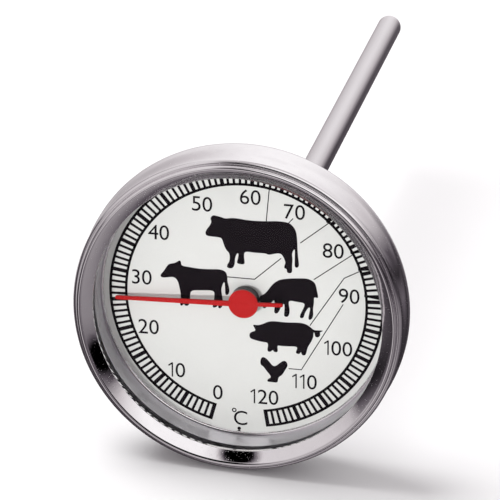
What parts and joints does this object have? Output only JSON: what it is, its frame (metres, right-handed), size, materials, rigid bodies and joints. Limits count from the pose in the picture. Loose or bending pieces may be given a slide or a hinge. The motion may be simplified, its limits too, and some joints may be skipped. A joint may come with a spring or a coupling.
{
  "type": "dial probe thermometer",
  "caption": "Round dial thermometer with a glass front, a red pointer, a steel case and a straight probe stem with a blunt tip.",
  "frame": {"origin": "on the stem's axis, where the bare stem leaves the ferrule on the back of the case", "axes": "+Y along the stem to its tip, -Y out of the dial, +Z to the dial's twelve o'clock"},
  "size_m": [0.0556, 0.1474, 0.0556],
  "materials": {
    "polished_steel": "polished stainless steel",
    "satin_steel": "satin stainless steel",
    "clear_glass": "clear flat glass",
    "black_rubber": "matt",
    "plated_ring": "bright plated",
    "dial_white": "satin off-white with black print",
    "zinc_steel": "zinc plated",
    "guide_plastic": "low-friction plastic",
    "bimetal_strip": "rolled strip",
    "brass": "turned",
    "pointer_red": "satin red lacquer",
    "black_bush": "black, smooth",
    "spindle_wire": "drawn wire"
  },
  "bodies": {
    "case": {"bezel_ring": "polished_steel", "bimetal_coil": "bimetal_strip", "case_cup": "polished_steel", "coil_anchor": "brass", "dial_clamp_ring": "plated_ring", "dial_plate": "dial_white", "dial_seat_ring": "zinc_steel", "glass_lens": "clear_glass", "lens_gasket": "black_rubber", "lower_guide": "guide_plastic", "middle_guide": "guide_plastic", "spacer_ring": "plated_ring", "stem_ferrule": "polished_steel", "stem_lock_washer": "zinc_steel", "stem_tip": "satin_steel", "stem_tube": "satin_steel", "thrust_washer": "guide_plastic", "upper_guide": "guide_plastic"},
    "pointer": {"spindle": "spindle_wire", "pointer": "pointer_red", "pointer_hub": "black_bush", "spindle_collar": "brass", "coil_clip": "brass"}
  },
  "joints": [
    {"name": "pointer_turn", "type": "hinge", "parent": "case", "child": "pointer", "pos_m": [0, -0.0065, 0], "axis": [0, 1, 0], "range_deg": [-72.11, 263.29], "stiffness_Nm_per_rad": 0.0001, "deforming": ["bimetal_coil"]}
  ]
}
